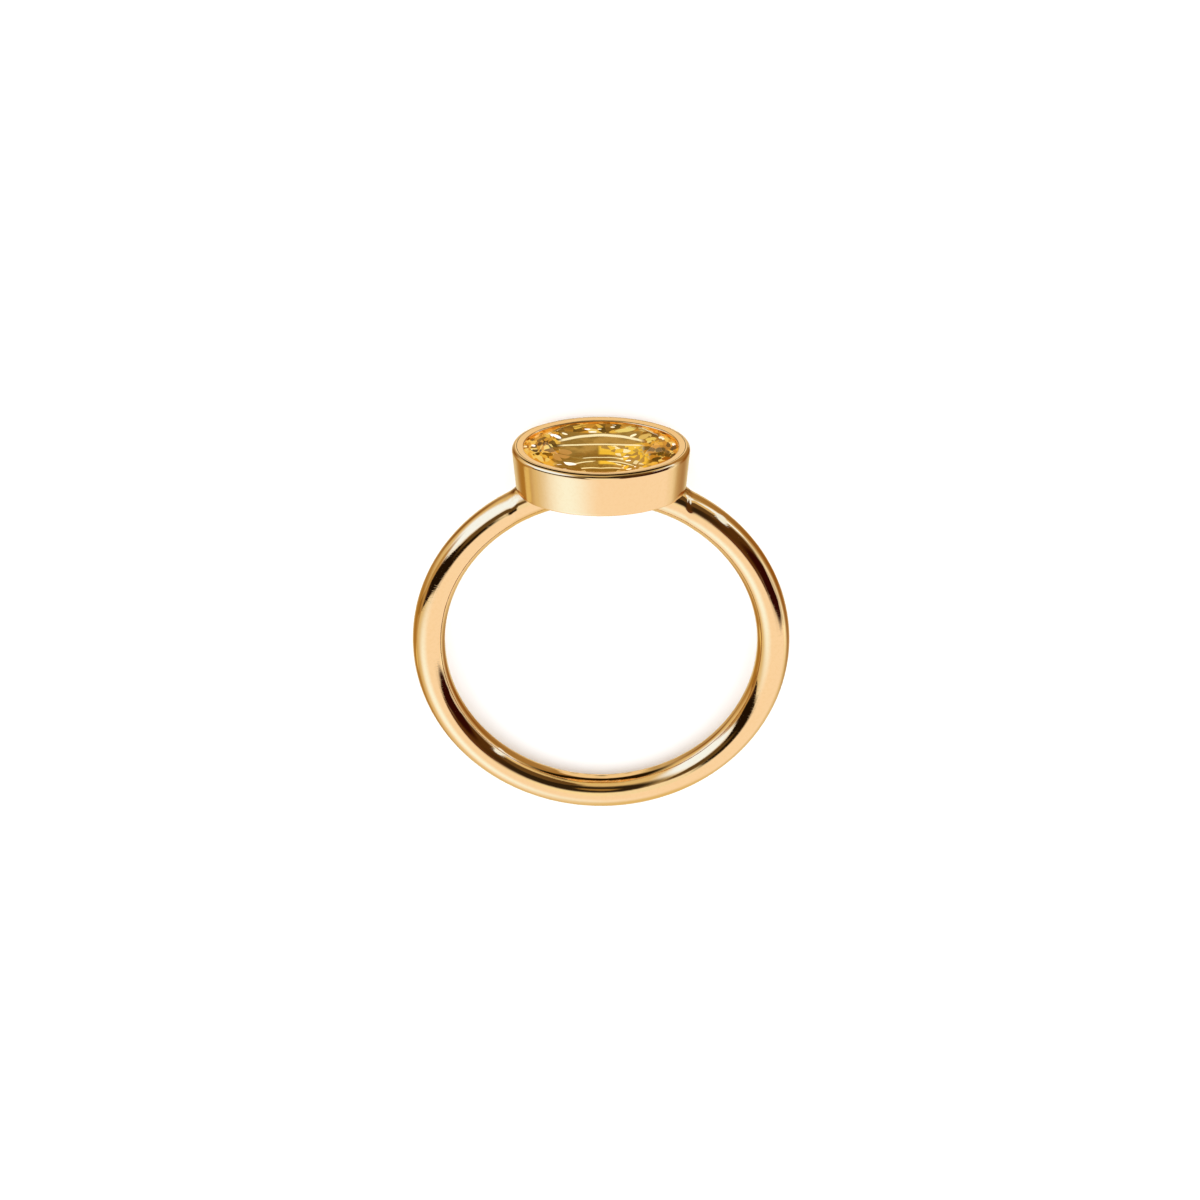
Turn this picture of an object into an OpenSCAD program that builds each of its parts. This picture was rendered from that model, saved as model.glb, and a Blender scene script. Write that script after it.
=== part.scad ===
// Pinky ring: a round gold wire band with an oval stone in a plain rubbed-over setting,
// set with its long axis along the band. Millimetres, +Z up.
// The ring lies on its side on Z = 0, stone towards +Y, as it comes to rest on a table.
// The origin is under the middle of its bounding box.

/* [Band] */
// Inside diameter, across the trued face that bears on the finger
finger_d = 15.3; // [14.5:0.1:17]
// Diameter of the round wire
wire_d = 1.6; // [1.5:0.1:1.8]
// Depth of the narrow trued face filed inside the band
land_depth = 0.02; // [0.01:0.01:0.05]

/* [Setting] */
// Outside length at the shoulder, along the band
setting_l = 8.5; // [8.3:0.02:8.8]
// Outside width at the shoulder
setting_w = 6.8; // [6.6:0.02:7]
// Height of the setting's base above the finger
setting_rise = 0.75; // [0.7:0.05:0.8]
// Height of the wall from its base to the shoulder
wall_h = 1.98; // [1.95:0.01:2.05]
// How much narrower the wall is at its base, on each side
wall_lean = 0.18; // [0.1:0.01:0.2]
// Thickness of the wall round the girdle
wall_t = 0.33; // [0.3:0.01:0.36]
// Distance from the outside of the shoulder to the inside of the bearing ledge
ledge_w = 0.62; // [0.58:0.01:0.66]
// Rounding of the shoulder
shoulder_r = 0.28; // [0.24:0.01:0.3]
// Width of the rim that is rubbed over the stone
rim_w = 0.55; // [0.52:0.01:0.58]
// Slope of the rim down towards the stone
rim_fall = 10; // [6:1:14]
// Rounding of the rim's inner edge
rim_edge_r = 0.06; // [0.04:0.01:0.07]
// Rounding of the outer edge at the base
base_edge_r = 0.08; // [0.05:0.01:0.12]

/* [Solder joint] */
// Radius of the joint at its widest, inside the wall
joint_r = 0.9; // [0.85:0.01:0.95]
// How far the joint stands off the wire's middle, away from the finger
joint_rise = 0.22; // [0.15:0.01:0.26]
// Distance of its widest place from the middle of the ring
joint_x = 3.5; // [3.4:0.05:3.6]
// Reach of the joint along the band, away from its widest place
joint_reach = 0.8; // [0.6:0.05:0.9]

/* [Stone] */
// Gap between the girdle and the wall
stone_gap = 0.03; // [0.02:0.01:0.05]
// Height of the girdle's upper edge below the shoulder
girdle_drop = 0.06; // [0.05:0.01:0.08]
// Thickness of the girdle
girdle_t = 0.12; // [0.1:0.01:0.14]
// Height of the crown, from girdle to table
crown_h = 0.46; // [0.42:0.01:0.5]
// Table corners, as a share of the stone's half-width
table_share = 0.68; // [0.62:0.01:0.72]
// Outer tips of the star facets, as a share of the half-width
star_share = 0.84; // [0.82:0.01:0.86]
// Depth of the pavilion below the girdle
pavilion_h = 1.66; // [1.5:0.02:1.68]

/* [Hidden] */
$fn = 96;

finger_r = finger_d / 2;
wire_r = wire_d / 2;
ring_r = finger_r - land_depth + wire_r;
base_y = finger_r + setting_rise;
file_y = base_y + 0.05;
gold = [0.93, 0.72, 0.42];
golden_stone = [0.86, 0.66, 0.22, 0.7];
far = 20;

// The oval is drawn with four arcs, two end arcs and two flatter side arcs, whose centres
// stand in a triangle of 3, 4 and 5 parts, so that the arcs always close.
half_l = setting_l / 2;
half_w = setting_w / 2;
end_x = (half_l - half_w) * 3 / 2;
side_y = end_x * 4 / 3;
end_r = half_l - end_x;
side_r = half_w + side_y;
end_angle = atan(4 / 3);

// Section of the setting's wall: x is the distance out from the shoulder, y the height.
lean = atan(wall_lean / wall_h);
wall_n = [cos(lean), -sin(lean)];
rim_n = [-sin(rim_fall), cos(rim_fall)];
shoulder_c = [0, wall_h] - shoulder_r * wall_n;
rim_edge_x = rim_edge_r - rim_w;
rim_edge_y = (rim_n * shoulder_c + shoulder_r - rim_edge_r - rim_n.x * rim_edge_x) / rim_n.y;
rim_edge_c = [rim_edge_x, rim_edge_y];
base_edge_c = [-(wall_h * sin(lean) + base_edge_r * (1 - sin(lean))) / cos(lean), base_edge_r];

// Levels of the stone above the setting's base, and the room cut for it in the wall.
girdle_y = wall_h - girdle_drop;
girdle_w = wall_t + stone_gap;
under_rim_gap = 0.05;
ledge_gap = 0.08;
pocket_top = girdle_y + under_rim_gap;
pocket_low = girdle_y - girdle_t - ledge_gap;
under_rim_tilt = 32;
ledge_tilt = 45;
ledge_y = pocket_low - (ledge_w - wall_t) * tan(ledge_tilt);
under_rim_y = pocket_top + (rim_w - wall_t) * tan(under_rim_tilt);

// Facets come in tiers. Each plane passes an outer and an inner point, given as a share
// of the half-width in its direction and a height above the girdle's upper edge.
star_tip_y = crown_h * (1 - star_share * cos(22.5)) / (1 - table_share);
girdle_share = cos(11.25);
// Columns: facets in the tier, first direction, outer share, height, inner share, height
CROWN = [
  [8, 0, 1, 0, table_share, crown_h],
  [8, 22.5, star_share, star_tip_y, table_share * cos(22.5), crown_h],
  [16, 11.25, girdle_share, 0, star_share * cos(11.25), star_tip_y]
];
PAVILION = [
  [16, 0, girdle_share, 0, 0.76, 0.4],
  [16, 0, 0.76, 0.4, 0.42, 0.78],
  [16, 0, 0.42, 0.78, 0, 1]
];

// Lying pose: the band and the setting's base edge touch the table.
edge_z = half_w + base_edge_c.x;
edge_y = base_y + base_edge_r + ring_r;
tilt = atan(edge_z / edge_y) - asin((wire_r - base_edge_r) / norm([edge_z, edge_y]));
low_z = ring_r * sin(tilt) + wire_r;
near_y = ring_r * cos(tilt) + wire_r;
far_y = (base_y + shoulder_c.y) * cos(tilt) + (half_w + shoulder_c.x) * sin(tilt) + shoulder_r;

// Distance from the middle to the girdle's tangent in one direction
function girdle_reach(a) =
  let(c = abs(cos(a)), s = abs(sin(a)))
  (atan2(s, c) < end_angle)
    ? end_x * c + end_r - girdle_w
    : side_r - girdle_w - side_y * s;

// One full turn of an oval ring in four quarters, from a section whose x counts from the
// shoulder
module oval_ring() {
  for (flip_x = [0, 1], flip_y = [0, 1])
    mirror([flip_x, 0, 0])
      mirror([0, flip_y, 0]) {
        translate([end_x, 0, 0])
          rotate_extrude(angle = end_angle)
            translate([end_r, 0]) children();
        translate([0, -side_y, 0])
          rotate_extrude(angle = 90 - end_angle, start = end_angle)
            translate([side_r, 0]) children();
      }
}

// Filled oval, drawn inside the shoulder's outline by a distance
module oval_plate(inset, h) {
  linear_extrude(height = h)
    intersection() {
      intersection_for (s = [-1, 1])
        translate([0, s * side_y]) circle(r = side_r - inset);
      union() {
        square([2 * end_x, 2 * half_w], center = true);
        polygon([[0, 0], [far, far * tan(end_angle)], [-far, far * tan(end_angle)]]);
        polygon([[0, 0], [far, -far * tan(end_angle)], [-far, -far * tan(end_angle)]]);
        for (s = [-1, 1])
          translate([s * end_x, 0]) circle(r = end_r - inset);
      }
    }
}

// Section through the wall, its rim and its bearing ledge
module wall_section() {
  difference() {
    union() {
      polygon([
        [base_edge_c.x, 0],
        base_edge_c + base_edge_r * wall_n,
        [0, wall_h],
        shoulder_c,
        shoulder_c + shoulder_r * rim_n,
        rim_edge_c + rim_edge_r * rim_n,
        rim_edge_c,
        [-rim_w, rim_edge_y],
        [-rim_w, ledge_y],
        [-ledge_w, ledge_y],
        [-ledge_w, 0]
      ]);
      translate(base_edge_c) circle(r = base_edge_r);
      translate(shoulder_c) circle(r = shoulder_r);
      translate(rim_edge_c) circle(r = rim_edge_r);
    }
    polygon([
      [-ledge_w, ledge_y],
      [-wall_t, pocket_low],
      [-wall_t, pocket_top],
      [-rim_w, under_rim_y],
      [-rim_w - 0.2, under_rim_y],
      [-rim_w - 0.2, ledge_y]
    ]);
  }
}

// Turns a shape from the setting's own axis to the band's outer side
module on_band() {
  translate([0, base_y, 0]) rotate([-90, 0, 0]) children();
}

// Place in the band's plane, at a distance r from the finger hole's axis
function on_ring(x, r) = [x, sqrt(ring_r * ring_r - x * x)] * r / ring_r;

// Cone between two places in the band's plane
module plane_cone(p1, r1, p2, r2) {
  translate([p1.x, p1.y, 0])
    rotate([0, 90, atan2(p2.y - p1.y, p2.x - p1.x)])
      cylinder(h = norm(p2 - p1), r1 = r1, r2 = r2);
}

module solder_joint() {
  widest = on_ring(joint_x, ring_r + joint_rise);
  for (s = [0, 1])
    mirror([s, 0, 0])
      plane_cone(widest, joint_r, on_ring(joint_x + joint_reach, ring_r), wire_r - 0.01);
}

// Wire band, filed flat under the setting
module band() {
  difference() {
    union() {
      rotate_extrude() translate([ring_r, 0]) circle(r = wire_r);
      solder_joint();
    }
    translate([0, file_y + far / 2, 0])
      cube([2 * half_l - wall_lean - ledge_w, far, far], center = true);
  }
}

module setting() {
  on_band() oval_ring() wall_section();
}

// Everything on the inner side of a plane that leans out over one direction
module below_facet(direction, reach, level, slope) {
  rotate([0, 0, direction])
    translate([reach, 0, level])
      rotate([0, slope, 0])
        translate([-far, -far, -2 * far]) cube(2 * far);
}

// All planes of the tiers; heights count from a level and grow by a scale, up or down
module tiers(table, level, scale_y) {
  intersection_for (t = table)
    intersection_for (i = [0 : t[0] - 1]) {
      direction = t[1] + i * 360 / t[0];
      reach = girdle_reach(direction);
      rise = (t[5] - t[3]) * abs(scale_y);
      slope = atan(rise / ((t[2] - t[4]) * reach));
      below_facet(direction, t[2] * reach, level + t[3] * scale_y, scale_y > 0 ? slope : 180 - slope);
    }
}

module lying() {
  translate([0, (near_y - far_y) / 2, low_z]) rotate([tilt, 0, 0]) children();
}

module band_and_setting() {
  color(gold)
    lying()
      difference() {
        union() {
          band();
          setting();
        }
        cylinder(r = finger_r, h = far, center = true);
      }
}

module oval_stone() {
  color(golden_stone)
    lying()
      on_band()
        translate([0, 0, girdle_y])
          intersection() {
            translate([0, 0, -girdle_t - pavilion_h]) oval_plate(girdle_w, girdle_t + pavilion_h + crown_h);
            tiers(CROWN, 0, 1);
            tiers(PAVILION, -girdle_t, -pavilion_h);
          }
}

band_and_setting();
oval_stone();
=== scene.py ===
import math
import bmesh
import bpy
from mathutils import Matrix, Vector, kdtree


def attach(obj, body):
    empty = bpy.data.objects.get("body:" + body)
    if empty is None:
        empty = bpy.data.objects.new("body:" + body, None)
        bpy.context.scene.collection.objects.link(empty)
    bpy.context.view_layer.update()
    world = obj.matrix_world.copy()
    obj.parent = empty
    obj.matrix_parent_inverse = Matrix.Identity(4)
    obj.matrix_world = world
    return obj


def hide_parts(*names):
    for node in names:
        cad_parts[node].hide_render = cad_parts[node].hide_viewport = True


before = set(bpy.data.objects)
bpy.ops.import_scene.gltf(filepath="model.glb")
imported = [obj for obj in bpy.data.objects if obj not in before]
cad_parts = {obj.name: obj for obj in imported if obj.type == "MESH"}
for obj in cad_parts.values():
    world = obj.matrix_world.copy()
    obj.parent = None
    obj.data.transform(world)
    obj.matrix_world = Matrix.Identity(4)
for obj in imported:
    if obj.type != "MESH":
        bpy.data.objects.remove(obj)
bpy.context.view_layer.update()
print("frame loaded:", sorted(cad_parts))

mm = 0.001
mergeDistance = 1e-4

# the ring lies on its side: its own plane is tilted about X, and its middle stands above the table
lying = dict(tilt=8.1427, middle=Vector((0, -0.938764, 1.99407)))
toTable = (Matrix.Scale(mm, 4) @ Matrix.Translation(lying["middle"])
           @ Matrix.Rotation(math.radians(lying["tilt"]), 4, "X"))


class Val:  # a shader socket that can be added, multiplied and so on
    def __init__(self, tree, socket):
        self.tree, self.socket = tree, socket

    def math(self, operation, *values):
        return node(self.tree, "ShaderNodeMath", dict(operation=operation), dict(enumerate(values)))

    def __add__(self, other):
        return self.math("ADD", self, other)

    def __radd__(self, other):
        return self.math("ADD", other, self)

    def __sub__(self, other):
        return self.math("SUBTRACT", self, other)

    def __rsub__(self, other):
        return self.math("SUBTRACT", other, self)

    def __mul__(self, other):
        return self.math("MULTIPLY", self, other)

    def __rmul__(self, other):
        return self.math("MULTIPLY", other, self)

    def __truediv__(self, other):
        return self.math("DIVIDE", self, other)

    def __rtruediv__(self, other):
        return self.math("DIVIDE", other, self)


def node(tree, kind, settings=None, values=None, out=0):  # settings first, then the sockets
    made = tree.nodes.new(kind)
    for key, value in (settings or {}).items():
        if key == "stops":
            ramp = made.color_ramp
            while len(ramp.elements) < len(value):
                ramp.elements.new(0.5)
            for element, (place, colour) in zip(ramp.elements, value):
                element.position, element.color = place, colour
        else:
            setattr(made, key, value)
    for key, value in (values or {}).items():
        if isinstance(value, Val):
            tree.links.new(value.socket, made.inputs[key])
        else:
            made.inputs[key].default_value = value
    return Val(tree, made.outputs[out])


def mixColour(tree, factor, below, above):
    values = {0: factor, 6: below, 7: above}
    for key in (6, 7):
        if not isinstance(values[key], Val):
            values[key] = (*values[key][:3], 1)
    return node(tree, "ShaderNodeMix", dict(data_type="RGBA"), values, out=2)


def mixValue(tree, factor, below, above):
    return node(tree, "ShaderNodeMix", values={0: factor, 2: below, 3: above})


# 1 inside an oval on the first two axes, 0 outside it; its edge fades between two shares of its size
def ovalMask(place, centre, halfs, turn, inside, outside):
    values = {0: place, 1: (*centre, 0), 2: (0, 0, math.radians(turn)), 3: (*halfs, 1)}
    placed = node(place.tree, "ShaderNodeMapping", dict(vector_type="TEXTURE"), values)
    reach = node(place.tree, "ShaderNodeVectorMath", dict(operation="LENGTH"), {0: placed}, out=1)
    return node(place.tree, "ShaderNodeMapRange", dict(interpolation_type="SMOOTHSTEP"),
                {0: reach, 1: outside, 2: inside, 3: 0.0, 4: 1.0})


# camera: above the stone's side of the ring, as in the photograph
view = dict(distance=180, above=19.977, sensor=36, lens=110.16, shiftX=-0.0009, shiftY=0.03475,
            clipStart=0.002, clipEnd=20)


def makeCamera():
    camera = bpy.data.objects.new("camera", bpy.data.cameras.new("camera"))
    bpy.context.scene.collection.objects.link(camera)
    camera.location = (lying["middle"] + view["distance"] * towards(0, 0)) * mm
    camera.rotation_euler = (-math.radians(view["above"]), 0, 0)
    camera.data.sensor_width = view["sensor"]
    camera.data.lens = view["lens"]
    camera.data.shift_x, camera.data.shift_y = view["shiftX"], view["shiftY"]
    camera.data.clip_start, camera.data.clip_end = view["clipStart"], view["clipEnd"]
    bpy.context.scene.camera = camera


# studio: a dome of soft light that the gold and the stone mirror, and a white table
def studioAxes():  # the dome's own axes: right, up, and the middle, where the camera stands
    angle = math.radians(view["above"])
    return (Vector((1, 0, 0)), Vector((0, math.cos(angle), -math.sin(angle))),
            Vector((0, math.sin(angle), math.cos(angle))))


def towards(right, up):  # a direction that many degrees from the dome's middle
    sideways, upwards, middle = studioAxes()
    away, turn = math.radians(math.hypot(right, up)), math.atan2(up, right)
    across = math.cos(turn) * sideways + math.sin(turn) * upwards
    return math.cos(away) * middle + math.sin(away) * across


# soft cards on the dome: degrees right and up, half width, half height, turn, softness, light;
# a later card covers an earlier one
cards = dict(
    table=(16, -68, 83, 54, 9, 0.25, (1.01, 0.98, 0.97)),
    tableBright=(-32, -75, 36, 16, -45, 0.99, (1.03, 1.38, 1.85)),
    boxLeft=(-55, 19, 24, 34, 34, 0.34, (0.98, 1.38, 2.26)),
    boxRight=(68, 36, 6, 19, 52, 0.36, (1.12, 1.54, 2.40)),
    edgeRight=(89, -10, 16, 31, 20, 0.66, (1.29, 1.49, 1.48)),
    darkRight=(49, -9, 40, 25, 47, 0.30, (0.09, 0.04, 0.01)),
    darkLeft=(-73, -21, 60, 8, -15, 0.14, (0.02, 0.01, 0.01)),
    darkLeftUp=(-86, -5, 11, 28, -21, 0.37, (0.49, 0.34, 0.14)),
    camera=(7, 1, 31, 25, -26, 0.28, (0.03, 0.02, 0.01)),
    lens=(1, 3, 7, 6, -4, 0.33, (0.34, 0.23, 0.08)),
    topGlow=(6, 50, 13, 4, -3, 0.80, (1.60, 1.50, 0.80)),
    topDark=(-1, 80, 60, 30, -12, 0.30, (0.02, 0.01, 0.00)),
    upLeftDark=(-100, 74, 17, 48, -45, 0.78, (0.26, 0.12, 0.02)),
    upRightDark=(86, 75, 26, 75, 56, 0.12, (0.39, 0.25, 0.09)),
    right30=(32, 21, 14, 25, 60, 0.14, (0.13, 0.08, 0.03)),
    rightRed=(66, -21, 18, 30, -56, 0.21, (0.03, 0.004, 0.002)),
    lowGlow=(36, -132, 53, 21, -27, 0.69, (0.77, 0.66, 0.35)),
    leftTan=(-121, -26, 22, 90, 8, 0.68, (0.42, 0.24, 0.05)),
    rightTan=(121, 18, 24, 70, 12, 1.00, (0.28, 0.11, 0.01)),
    midGold=(-1, -30, 15, 11, -11, 0.70, (1.01, 1.04, 0.88)),
    brownLeft=(-38, -20, 18, 9, 16, 0.58, (0.26, 0.16, 0.05)),
    boxRightLow=(63, 32, 25, 4, 62, 0.18, (0.94, 1.24, 1.80)),
    darkLeftTip=(-73, -13, 7, 11, -40, 0.23, (0.11, 0.05, 0.02)),
    greyRight=(87, -15, 18, 8, -81, 0.12, (0.68, 0.69, 0.69)),
    tanLeftLow=(-34, -34, 9, 7, -51, 0.40, (0.41, 0.35, 0.18)),
    darkLowRight=(27, -36, 10, 7, -76, 0.17, (0.12, 0.05, 0.02)),
    boxRightTop=(62, 44, 7, 7, 63, 0.51, (0.96, 1.33, 2.17)),
    darkLow=(-16, -37, 9, 9, 39, 0.48, (0.13, 0.09, 0.02)),
    midLow=(-9, -32, 14, 8, -76, 0.24, (0.96, 1.00, 0.94)),
    darkWedge=(-46, -26, 37, 10, -25, 0.12, (0.015, 0.008, 0.003)),
    brownWedge=(-27, -19, 11, 13, 0, 0.25, (0.12, 0.08, 0.03)),
    darkRightEdge=(59, -31, 27, 6, 25, 0.12, (0.030, 0.004, 0.003)),
    wallGold=(-106, -47, 9, 7, 10, 0.60, (0.78, 0.66, 0.30)),
    rimBack=(0, 132, 46, 24, 0, 0.10, (0.92, 0.82, 0.62)),
    overStone=(0, 127, 6, 4, 0, 0.50, (0.04, 0.03, 0.01)),
    starLeft=(-25, 133, 4, 5, 0, 0.40, (0.08, 0.05, 0.02)),
    starRight=(25, 133, 4, 5, 0, 0.40, (0.08, 0.05, 0.02)),
    backLeft=(-13, 148, 5, 4, 0, 0.40, (0.08, 0.05, 0.02)),
    backRight=(13, 148, 5, 4, 0, 0.40, (0.08, 0.05, 0.02)),
    sideLeft=(-50, 121, 6, 7, 0, 0.90, (0.45, 0.33, 0.17)),
    sideRight=(50, 121, 6, 7, 0, 0.90, (0.45, 0.33, 0.17)),
)
roomLight = (0.76, 0.67, 0.42)
tableLight = 1.6
nearNothing = 1e-9  # keeps the dome's middle from a division by nothing
table = dict(half=0.6, colour=(0.97, 0.97, 0.97, 1), roughness=0.9)


def makeStudio():
    world = bpy.data.worlds.new("studio")
    bpy.context.scene.world = world
    world.use_nodes = True
    world.cycles.sampling_method = "NONE"  # it is plain white for everything that isn't a mirror
    tree = world.node_tree
    tree.nodes.clear()
    direction = node(tree, "ShaderNodeTexCoord")
    along = []
    for axis in studioAxes():
        values = {0: direction, 1: axis}
        along.append(node(tree, "ShaderNodeVectorMath", dict(operation="DOT_PRODUCT"), values, out=1))
    right, up, middle = along
    away = middle.math("ARCCOSINE", middle) * (180 / math.pi)
    flat = right.math("SQRT", right * right + up * up + nearNothing)
    stretch = away / flat
    spot = node(tree, "ShaderNodeCombineXYZ", values={0: right * stretch, 1: up * stretch})
    glow = (*roomLight, 1)
    for x, y, width, height, turn, softness, light in cards.values():
        mask = ovalMask(spot, (x, y), (width, height), turn, 1 - softness, 1 + softness)
        glow = mixColour(tree, mask, glow, light)
    mirrored = node(tree, "ShaderNodeLightPath", out=3)
    colour = mixColour(tree, mirrored, (tableLight, tableLight, tableLight), glow)
    background = node(tree, "ShaderNodeBackground", values={0: colour, 1: 1.0})
    output = tree.nodes.new("ShaderNodeOutputWorld")
    tree.links.new(background.socket, output.inputs[0])


def makeFloor():
    shape = bmesh.new()
    bmesh.ops.create_grid(shape, x_segments=1, y_segments=1, size=table["half"])
    mesh = bpy.data.meshes.new("floor")
    shape.to_mesh(mesh)
    shape.free()
    floor = bpy.data.objects.new("floor", mesh)
    bpy.context.scene.collection.objects.link(floor)
    paint = bpy.data.materials.new("whiteTable")
    paint.use_nodes = True
    surface = paint.node_tree.nodes["Principled BSDF"]
    surface.inputs["Base Color"].default_value = table["colour"]
    surface.inputs["Roughness"].default_value = table["roughness"]
    surface.inputs["Specular IOR Level"].default_value = 0
    floor.data.materials.append(paint)
    floor.visible_glossy = False


# band: a round wire turned into a ring, filed flat under the setting, millimetres
band = dict(radius=8.43, wire=0.8, finger=7.65, fileAt=8.45, around=480, across=64)


def makeBand():
    shape = bmesh.new()
    ring = bmesh.ops.create_circle(shape, segments=band["across"], radius=band["wire"])["verts"]
    upright = Matrix.Rotation(math.pi / 2, 3, "X")
    bmesh.ops.rotate(shape, verts=ring, cent=(0, 0, 0), matrix=upright)
    bmesh.ops.translate(shape, verts=ring, vec=(band["radius"], 0, 0))
    bmesh.ops.spin(shape, geom=list(shape.verts) + list(shape.edges), cent=(0, 0, 0), axis=(0, 0, 1),
                   angle=2 * math.pi, steps=band["around"], use_merge=True, use_duplicate=False)
    bmesh.ops.remove_doubles(shape, verts=shape.verts, dist=mergeDistance)
    bmesh.ops.recalc_face_normals(shape, faces=shape.faces)
    for vert in shape.verts:
        solderSwell(vert.co)
        across = Vector((vert.co.x, vert.co.y))
        if across.length < band["finger"]:
            across *= band["finger"] / across.length
            vert.co.x, vert.co.y = across
        if abs(vert.co.x) < cup["innerLength"]:
            vert.co.y = min(vert.co.y, band["fileAt"])
    return shape


# solder: a swelling of the wire at both ends of the setting, and a small fillet along the seam
joint = dict(fromY=5, leanShare=0.9, reach=0.35, swell=0.03, lift=0.05,
             seamAngle=25, seamX=3, seamY=6, seamOffFinger=0.1, keptAtFinger=0.02, fillet=0.16, passes=6)


def solderSwell(place):  # the wire swells and lifts where the solder joins it to the setting
    if place.y < joint["fromY"]:
        return
    wallAt = cup["length"] - cup["lean"] * joint["leanShare"]
    gap = max(0.0, abs(place.x) - wallAt) / joint["reach"]
    share = max(0.0, 1 - gap) ** 2
    turn = math.atan2(place.x, place.y)
    middle = Vector((math.sin(turn), math.cos(turn), 0)) * band["radius"]
    away = place - middle
    place += away.normalized() * joint["swell"] * share
    place += middle.normalized() * joint["lift"] * share


# setting: an oval cup, its section turned round four arcs and mirrored, millimetres and degrees
cup = dict(length=4.25, width=3.40, height=1.98, lean=0.18, base=8.40, wall=0.33, ledge=0.62, rim=0.55,
           rimFall=7, shoulder=0.22, rimEdge=0.06, baseEdge=0.08, innerLength=3.85,
           pocketTop=1.97, pocketLow=1.72, underRim=32, skin=0.3,
           endSteps=56, sideSteps=44, wallRows=15, shoulderSteps=16, edgeSteps=8)


def cupSection():  # corners of the section, each with its rounding; x counts from the shoulder
    lean = math.atan(cup["lean"] / cup["height"])
    fall = math.radians(cup["rimFall"])
    wallOut = Vector((math.cos(lean), -math.sin(lean)))
    rimOut = Vector((-math.sin(fall), math.cos(fall)))
    centre = Vector((0, cup["height"])) - cup["shoulder"] * wallOut
    onRim = centre + cup["shoulder"] * rimOut
    along = Vector((wallOut.y, -wallOut.x))  # the wall's own line, downwards
    start = Vector((0, cup["height"]))
    reach = rimOut.dot(onRim - start) / rimOut.dot(along)
    shoulder = start + reach * along
    rimAt = onRim.y - (-cup["rim"] - onRim.x) * rimOut.x / rimOut.y
    drop = cup["ledge"] - cup["wall"]
    rise = (cup["rim"] - cup["wall"]) * math.tan(math.radians(cup["underRim"]))
    return [((-cup["lean"], 0), cup["baseEdge"]),
            (shoulder, cup["shoulder"]),
            ((-cup["rim"], rimAt), cup["rimEdge"]),
            ((-cup["rim"], cup["pocketTop"] + rise), 0),
            ((-cup["wall"], cup["pocketTop"]), 0),
            ((-cup["wall"], cup["pocketLow"]), 0),
            ((-cup["ledge"], cup["pocketLow"] - drop), 0),
            ((-cup["ledge"], 0), 0)]


def makeCup():
    shape = bmesh.new()
    corners = cupSection()
    verts = [shape.verts.new((cup["length"] + place[0], 0, place[1])) for place, rounding in corners]
    shape.faces.new(verts)
    count = len(corners)
    for i, (place, rounding) in enumerate(corners):
        if rounding:
            before, after = (Vector(corners[k][0]) - Vector(place) for k in (i - 1, (i + 1) % count))
            offset = rounding / math.tan(before.angle(after) / 2)
            steps = cup["shoulderSteps"] if rounding > cup["baseEdge"] else cup["edgeSteps"]
            bmesh.ops.bevel(shape, geom=[verts[i]], offset=offset, offset_type="OFFSET",
                            affect="VERTICES", segments=steps, profile=0.5, material=-1)
    faces = list(shape.faces)
    bmesh.ops.delete(shape, geom=faces, context="FACES_ONLY")
    outside = [edge for edge in shape.edges if edge.verts[0].co.x > cup["length"] - cup["skin"]]
    wall = max(outside, key=lambda edge: edge.calc_length())
    bmesh.ops.subdivide_edges(shape, edges=[wall], cuts=cup["wallRows"])
    # the arcs' centres stand in a triangle of 3, 4 and 5 parts, so the four arcs always close
    endX = (cup["length"] - cup["width"]) * 3 / 2
    sideY = endX * 4 / 3
    turn = math.atan2(4, 3)
    section = list(shape.verts) + list(shape.edges)
    made = bmesh.ops.spin(shape, geom=section, cent=(endX, 0, 0), axis=(0, 0, 1),
                          angle=turn, steps=cup["endSteps"], use_duplicate=False)
    bmesh.ops.spin(shape, geom=made["geom_last"], cent=(0, -sideY, 0), axis=(0, 0, 1),
                   angle=math.pi / 2 - turn, steps=cup["sideSteps"], use_duplicate=False)
    for axis in "XY":
        geometry = list(shape.verts) + list(shape.edges) + list(shape.faces)
        bmesh.ops.mirror(shape, geom=geometry, axis=axis, merge_dist=mergeDistance)
    bmesh.ops.remove_doubles(shape, verts=shape.verts, dist=mergeDistance / 10)
    bmesh.ops.recalc_face_normals(shape, faces=shape.faces)
    toBand = Matrix.Translation((0, cup["base"], 0)) @ Matrix.Rotation(-math.pi / 2, 4, "X")
    bmesh.ops.transform(shape, matrix=toBand, verts=shape.verts)
    return shape


def asObject(name, shape):
    mesh = bpy.data.meshes.new(name)
    shape.to_mesh(mesh)
    shape.free()
    made = bpy.data.objects.new(name, mesh)
    bpy.context.scene.collection.objects.link(made)
    return made


def solder(name, first, second):  # one closed skin from two
    union = first.modifiers.new("union", "BOOLEAN")
    union.operation, union.solver, union.object = "UNION", "EXACT", second
    bpy.context.view_layer.update()
    joined = first.evaluated_get(bpy.context.evaluated_depsgraph_get())
    mesh = bpy.data.meshes.new_from_object(joined)
    mesh.name = name
    bpy.data.objects.remove(first)
    bpy.data.objects.remove(second)
    made = bpy.data.objects.new(name, mesh)
    bpy.context.scene.collection.objects.link(made)
    return made


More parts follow.
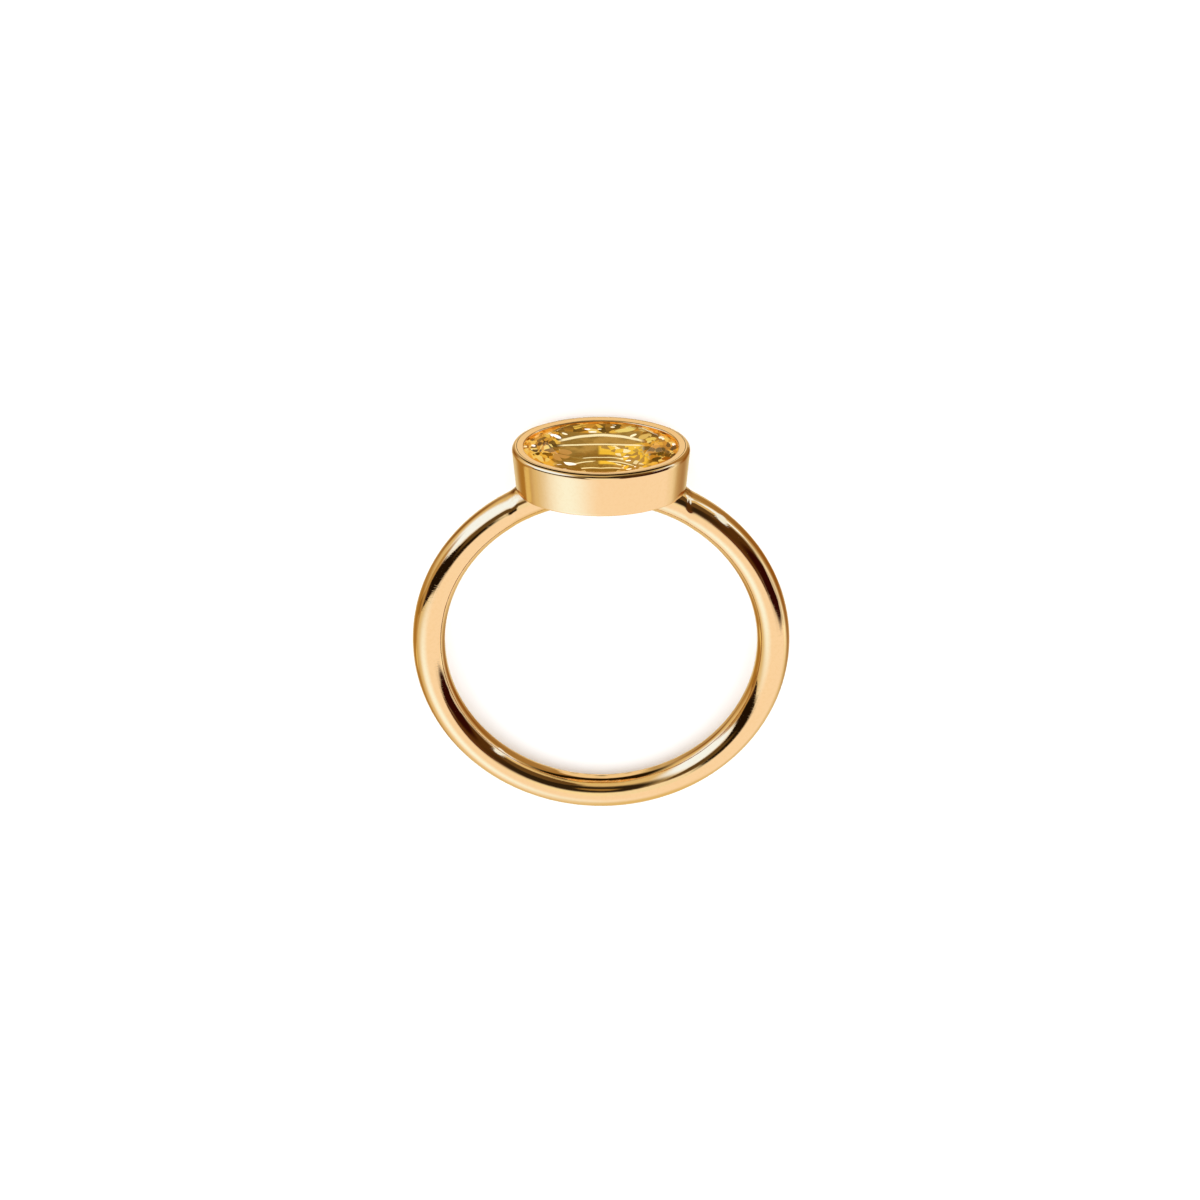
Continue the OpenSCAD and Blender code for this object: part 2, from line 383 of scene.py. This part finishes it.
def softenJoint(mesh):  # the solder's small fillet: the seam and what lies near it are smoothed
    shape = bmesh.new()
    shape.from_mesh(mesh)
    seam = []
    for edge in shape.edges:
        place = edge.verts[0].co
        atJoint = (abs(place.x) > joint["seamX"] and place.y > joint["seamY"]
                   and place.xy.length > band["finger"] + joint["seamOffFinger"])
        if atJoint and len(edge.link_faces) == 2 and not edge.is_convex:
            if edge.calc_face_angle() > math.radians(joint["seamAngle"]):
                seam.append(edge)
    places = kdtree.KDTree(len(seam))
    for i, edge in enumerate(seam):
        places.insert((edge.verts[0].co + edge.verts[1].co) / 2, i)
    places.balance()
    near = [vert for vert in shape.verts if vert.co.xy.length > band["finger"] + joint["keptAtFinger"]
            and places.find(vert.co)[2] < joint["fillet"]]
    for i in range(joint["passes"]):
        bmesh.ops.smooth_vert(shape, verts=near, factor=0.5,
                              use_axis_x=True, use_axis_y=True, use_axis_z=True)
    shape.to_mesh(mesh)
    shape.free()
    print("joint softened:", len(seam), "seam edges,", len(near), "points")


def makeGold(paint):
    made = solder("goldRing", asObject("band", makeBand()), asObject("cup", makeCup()))
    mesh = made.data
    softenJoint(mesh)
    mesh.transform(toTable)
    mesh.shade_smooth()
    mesh.set_sharp_from_angle(angle=math.radians(metal["sharpAngle"]))
    mesh.materials.clear()
    mesh.materials.append(paint)
    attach(made, "root")
    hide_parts("band_and_setting")
    return made


# finishes
def flatPlace(tree):  # Object coordinates turned to the ring's own axes, in millimetres
    place = node(tree, "ShaderNodeTexCoord", out=3)
    values = {0: place, 1: lying["middle"] * mm, 2: (math.radians(lying["tilt"]), 0, 0), 3: (mm, mm, mm)}
    return node(tree, "ShaderNodeMapping", dict(vector_type="TEXTURE"), values)


def parts(tree, vector):
    made = node(tree, "ShaderNodeSeparateXYZ", values={0: vector})
    return [Val(tree, socket) for socket in made.socket.node.outputs]


def step(value, low, high):  # 0 below, 1 above, smooth between
    settings = dict(interpolation_type="SMOOTHSTEP")
    return node(value.tree, "ShaderNodeMapRange", settings, {0: value, 1: low, 2: high, 3: 0.0, 4: 1.0})


def noise(tree, place, scale, detail=2.0):
    return node(tree, "ShaderNodeTexNoise", values={"Vector": place, "Scale": scale, "Detail": detail})


# gold: places and distances in millimetres, heights of the bumps in metres
# the gold's base colour carries painted shade at both joints: darker gold near them, and dark brown
# patches along the seam where the band meets the setting
metal = dict(polished=(0.955, 0.655, 0.345), deep=(0.90, 0.56, 0.25), seamShade=(0.35, 0.18, 0.06),
             jointAt=(4.1, 8.3), jointDepth=0.6, corner=(0.25, 0.75), seamShadeReach=(0.1, 0.42),
             dirtAndShadeScale=7.0, dirtAndShadeDetail=4.0, dullAndJointShade=(0.45, 0.65), dullElsewhere=0.15, seamShadePatches=(0.35, 0.6),
             roughness=(0.035, 0.075), rubScale=0.8, rubbed=(0.35, 0.7), sharpAngle=32,
             waveScale=0.9, waveDetail=3.0, waveStretch=(0.5, 0.5, 2.5), waveHeight=7e-6,
             scratchTurns=((25, 26.0), (-50, 34.0)), scratchTilt=0.7, scratchLength=0.7,
             scratched=(0.62, 0.72), scratchHeight=2.5e-7)


def goldFinish():
    paint = bpy.data.materials.new("polishedGold")
    paint.use_nodes = True
    tree = paint.node_tree
    surface = tree.nodes["Principled BSDF"]
    surface.inputs["Metallic"].default_value = 1
    place = flatPlace(tree)
    x, y, z = parts(tree, place)
    jointX, jointY = metal["jointAt"]
    sideways = x.math("ABSOLUTE", x) - jointX
    upwards = y - jointY
    squares = sideways * sideways + upwards * upwards + z * z * metal["jointDepth"]
    fromJoint = x.math("SQRT", squares)
    # painted shade near both joints: it fades out between these distances from the joint
    atJoint = 1 - step(fromJoint, *metal["corner"])
    # painted shade in the seam: dark brown patches close to where the band meets the setting
    inSeamShade = 1 - step(fromJoint, *metal["seamShadeReach"])
    dirtAndShadeNoise = noise(tree, place, metal["dirtAndShadeScale"], metal["dirtAndShadeDetail"])
    elsewhere = metal["dullElsewhere"]
    # darker gold in noisy patches: a little everywhere as uneven tone, and fully near the joints as
    # painted shade
    dullAndJointShade = step(dirtAndShadeNoise, *metal["dullAndJointShade"]) * (elsewhere + (1 - elsewhere) * atJoint)
    colour = mixColour(tree, dullAndJointShade, metal["polished"], metal["deep"])
    colour = mixColour(tree, step(dirtAndShadeNoise, *metal["seamShadePatches"]) * inSeamShade, colour, metal["seamShade"])
    tree.links.new(colour.socket, surface.inputs["Base Color"])
    soft = noise(tree, place, metal["rubScale"])
    scratched = scratches(tree, place)
    worn = step(soft, *metal["rubbed"]) * 0.5 + scratched * 0.5
    rubbed = mixValue(tree, worn, *metal["roughness"])
    tree.links.new(rubbed.socket, surface.inputs["Roughness"])
    longWave = node(tree, "ShaderNodeMapping", values={0: place, 3: metal["waveStretch"]})
    waves = noise(tree, longWave, metal["waveScale"], metal["waveDetail"])
    values = {"Strength": 1.0, "Distance": metal["waveHeight"], "Height": waves}
    bump = node(tree, "ShaderNodeBump", values=values)
    values = {"Strength": 1.0, "Distance": metal["scratchHeight"], "Height": scratched, "Normal": bump}
    fine = node(tree, "ShaderNodeBump", values=values)
    tree.links.new(fine.socket, surface.inputs["Normal"])
    return paint


def scratches(tree, place):  # fine polishing lines that run two ways over the metal
    lines = 0.0
    length = metal["scratchLength"]
    for turn, width in metal["scratchTurns"]:
        turns = [math.radians(turn * share) for share in (1, metal["scratchTilt"], 1)]
        crossed = node(tree, "ShaderNodeMapping", values={0: place, 2: turns, 3: (length, width, length)})
        line = step(noise(tree, crossed, 1.0), *metal["scratched"])
        lines = place.math("MAXIMUM", line, lines)
    return lines


# stone: clear glass down to the girdle; below it a painted glow hides most of the glass: painted
# reflections in long bands with painted light lines between them, small painted facets at both ends, and
# painted highlights and shade
gem = dict(refraction=1.55, specular=0.3, reflected=(1.0, 0.74, 0.42), absorb=(0.99, 0.84, 0.20),
           density=290, girdle=(10.31, 10.33), crownHeights=(10.4, 10.7), crownTint=(1.0, 0.66, 0.22),
           tableTint=(1.0, 0.96, 0.84), lowerTint=(0.95, 0.62, 0.15), glow=1.0,
           paintedGlowShare=0.92, paintedFlashShare=0.95, flashEdge=(0.8, 1.0))
# colours of the painted reflections in the bands and of the painted light lines, and where the bands end
paintedBands = dict(end=(1.75, 2.15), back=(-2.1, -2.0), tan=(0.50, 0.29, 0.09), olive=(0.30, 0.17, 0.04),
                 cream=(1.20, 1.10, 0.95), cloudScale=1.1, cloudy=(0.40, 0.60),
                 frontBow=0.30, front=(0.10, 0.16), cellScale=3.0)
# the painted yellow stretch of the middle band, right of the stone's middle
paintedYellowBand = dict(start=(-0.20, 0.00), bow=0.35, front=(-0.25, -0.15), back=(-1.05, -0.95),
                  colour=(1.05, 0.68, 0.09), creamStart=(0.3, 0.8), creamCells=(0.66, 0.70),
                  tanCells=(0.76, 0.80))
# painted light lines on the lower facets: distance from the keel, half width, bow towards the ends
paintedLightLines = ((-1.88, 0.13, 0.17), (-1.13, 0.08, 0.09), (0.13, 0.07, 0.30))
# painted light and shade of the small facets at the stone's ends, dark to light
paintedEndFacets = ((0.00, (0.07, 0.035, 0.004, 1)), (0.22, (0.20, 0.09, 0.01, 1)), (0.42, (0.62, 0.27, 0.03, 1)),
          (0.60, (0.85, 0.42, 0.05, 1)), (0.80, (0.98, 0.62, 0.12, 1)), (1.00, (1.0, 0.80, 0.35, 1)))
# colours of the painted highlights
paintedWhiteFlash = (1.5, 1.5, 2.0)
paintedWarmFlash = (1.4, 1.3, 1.2)
# painted highlights and painted shade on the lower facets: place along and across, half length, half
# width, turn, light
paintedFlashes = dict(
    leftTip=(-3.51, -0.59, 0.10, 0.10, 0, paintedWarmFlash),
    leftMiddle=(-3.03, -0.72, 0.15, 0.09, 10, paintedWhiteFlash),
    leftLow=(-3.10, -0.35, 0.07, 0.07, 0, (1.0, 0.95, 0.70)),
    leftDark=(-2.66, -0.90, 0.14, 0.22, 20, (0.10, 0.04, 0.005)),
    leftBrown=(-2.41, -0.35, 0.22, 0.10, -30, (0.20, 0.09, 0.01)),
    upperLeft=(-2.12, -1.56, 0.26, 0.13, 35, paintedWhiteFlash),
    upperLeftSmall=(-1.75, -1.85, 0.16, 0.07, 20, paintedWarmFlash),
    pink=(-1.70, -0.20, 0.35, 0.30, 0, (0.62, 0.33, 0.12)),
    dashOne=(-0.66, -2.34, 0.16, 0.05, 0, paintedWhiteFlash),
    dashTwo=(-0.41, -2.13, 0.22, 0.045, 0, paintedWhiteFlash),
    dashThree=(-0.08, -2.34, 0.11, 0.04, 0, paintedWarmFlash),
    dashFour=(0.56, -2.48, 0.12, 0.05, 0, paintedWarmFlash),
    upperYellow=(1.15, -2.20, 0.55, 0.15, 0, (0.98, 0.78, 0.28)),
    upperRight=(1.55, -1.75, 0.20, 0.09, -30, paintedWarmFlash),
    frontLeft=(-1.46, 0.56, 0.42, 0.17, 0, paintedWhiteFlash),
    frontRight=(1.20, 0.20, 0.15, 0.07, 0, paintedWhiteFlash),
    rightDark=(2.62, -0.33, 0.20, 0.26, 20, (0.11, 0.06, 0.006)),
    rightDarkLow=(2.42, 0.12, 0.30, 0.16, 0, (0.09, 0.05, 0.005)),
    rightDarkTip=(2.95, -0.06, 0.12, 0.20, 0, (0.14, 0.07, 0.008)),
    rightGlow=(2.33, -1.27, 0.22, 0.16, 0, (0.98, 0.70, 0.18)),
    rightUpper=(2.74, -1.34, 0.10, 0.09, 0, paintedWarmFlash),
    rightBand=(2.05, -1.55, 0.30, 0.22, -30, (0.85, 0.58, 0.20)),
    rightLow=(2.88, 0.22, 0.22, 0.16, 0, (0.36, 0.11, 0.003)),
    rightTip=(3.33, -0.79, 0.10, 0.12, 0, paintedWhiteFlash),
)


def paintedLowerLight(tree, place, x, z):  # painted light of the lower facets, in place of what they reflect, and how far it hides the glass
    squared = x * x
    lines = 0.0
    for middle, half, bow in paintedLightLines:
        apart = z - middle - squared * bow
        line = 1 - step(x.math("ABSOLUTE", apart), half / 2, half)
        lines = x.math("MAXIMUM", line, lines)
    values = {"Vector": place, "Scale": paintedBands["cellScale"], "Randomness": 1.0}
    cells = node(tree, "ShaderNodeTexVoronoi", dict(feature="F1"), values, out=1)
    shade, other = parts(tree, cells)[:2]
    bands = paintedBandLight(tree, place, x, z, shade, other)
    bands = mixColour(tree, lines, bands, paintedBands["cream"])
    paintedFacets = node(tree, "ShaderNodeValToRGB", dict(stops=paintedEndFacets), {0: shade})
    inBand = (1 - step(x.math("ABSOLUTE", x), *paintedBands["end"])) * step(z, *paintedBands["back"])
    paintedColour = mixColour(tree, inBand, paintedFacets, bands)
    # the painted glow hides this much of the glass below the girdle
    share = gem["paintedGlowShare"]
    fromAbove = node(tree, "ShaderNodeCombineXYZ", values={0: x, 1: z})
    # painted highlights and painted shade in spots, each hiding the glass more
    for flashX, flashZ, length, width, turn, light in paintedFlashes.values():
        mask = ovalMask(fromAbove, (flashX, flashZ), (length, width), turn, *gem["flashEdge"])
        paintedColour = mixColour(tree, mask, paintedColour, light)
        share = mask.math("MAXIMUM", mask * gem["paintedFlashShare"], share)
    return paintedColour, share


def paintedBandLight(tree, place, x, z, shade, other):  # painted tan and olive bands, with a painted yellow stretch on the right
    squared = x * x
    clouds = noise(tree, place, paintedBands["cloudScale"])
    bands = mixColour(tree, step(clouds, *paintedBands["cloudy"]), paintedBands["tan"], paintedBands["olive"])
    front = step(z - paintedBands["frontBow"] * squared, *paintedBands["front"])  # past the last painted light line
    bands = mixColour(tree, front, bands, paintedBands["olive"])
    inYellow = step(x, *paintedYellowBand["start"]) * step(z, *paintedYellowBand["back"])
    inYellow = inYellow * (1 - step(z - paintedYellowBand["bow"] * squared, *paintedYellowBand["front"]))
    creamCells = step(other, *paintedYellowBand["creamCells"]) * step(x, *paintedYellowBand["creamStart"])
    yellow = mixColour(tree, creamCells, paintedYellowBand["colour"], paintedBands["cream"])
    yellow = mixColour(tree, step(shade, *paintedYellowBand["tanCells"]), yellow, paintedBands["tan"])
    return mixColour(tree, inYellow, bands, yellow)


def stoneFinish():
    paint = bpy.data.materials.new("goldenStone")
    paint.use_nodes = True
    tree = paint.node_tree
    surface = tree.nodes["Principled BSDF"]
    surface.inputs["Roughness"].default_value = 0.0
    surface.inputs["IOR"].default_value = gem["refraction"]
    surface.inputs["Specular IOR Level"].default_value = gem["specular"]
    surface.inputs["Specular Tint"].default_value = (*gem["reflected"], 1)
    surface.inputs["Transmission Weight"].default_value = 1
    place = flatPlace(tree)
    x, y, z = parts(tree, place)
    paintedColour, share = paintedLowerLight(tree, place, x, z)
    below = 1 - step(y, *gem["girdle"])
    crown = mixColour(tree, step(y, *gem["crownHeights"]), gem["crownTint"], gem["tableTint"])
    colour = mixColour(tree, below, crown, gem["lowerTint"])
    tree.links.new(colour.socket, surface.inputs["Base Color"])
    paintedGlow = tree.nodes.new("ShaderNodeBsdfPrincipled")  # painted glow: emission in place of the light the lower facets reflect
    paintedGlow.inputs["Base Color"].default_value = (0, 0, 0, 1)
    paintedGlow.inputs["Specular IOR Level"].default_value = 0
    tree.links.new(paintedColour.socket, paintedGlow.inputs["Emission Color"])
    paintedGlow.inputs["Emission Strength"].default_value = gem["glow"]
    glass, light = Val(tree, surface.outputs[0]), Val(tree, paintedGlow.outputs[0])
    # below the girdle the painted glow is mixed over the glass
    mixed = node(tree, "ShaderNodeMixShader", values={0: share * below, 1: glass, 2: light})
    tree.links.new(mixed.socket, tree.nodes["Material Output"].inputs["Surface"])
    inside = tree.nodes.new("ShaderNodeVolumeAbsorption")
    inside.inputs["Color"].default_value = (*gem["absorb"], 1)
    inside.inputs["Density"].default_value = gem["density"]
    tree.links.new(inside.outputs[0], tree.nodes["Material Output"].inputs["Volume"])
    return paint


makeCamera()
makeStudio()
makeFloor()
print("studio made")
goldRing = makeGold(goldFinish())
print("gold made:", len(goldRing.data.polygons), "faces")
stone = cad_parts["oval_stone"]
stonePaint = stoneFinish()
for place in stone.material_slots:
    place.material = stonePaint
print("stone finished")

scene = bpy.context.scene
scene.view_settings.view_transform = "Standard"
scene.cycles.max_bounces = 14
scene.cycles.glossy_bounces = 8
scene.cycles.transmission_bounces = 12
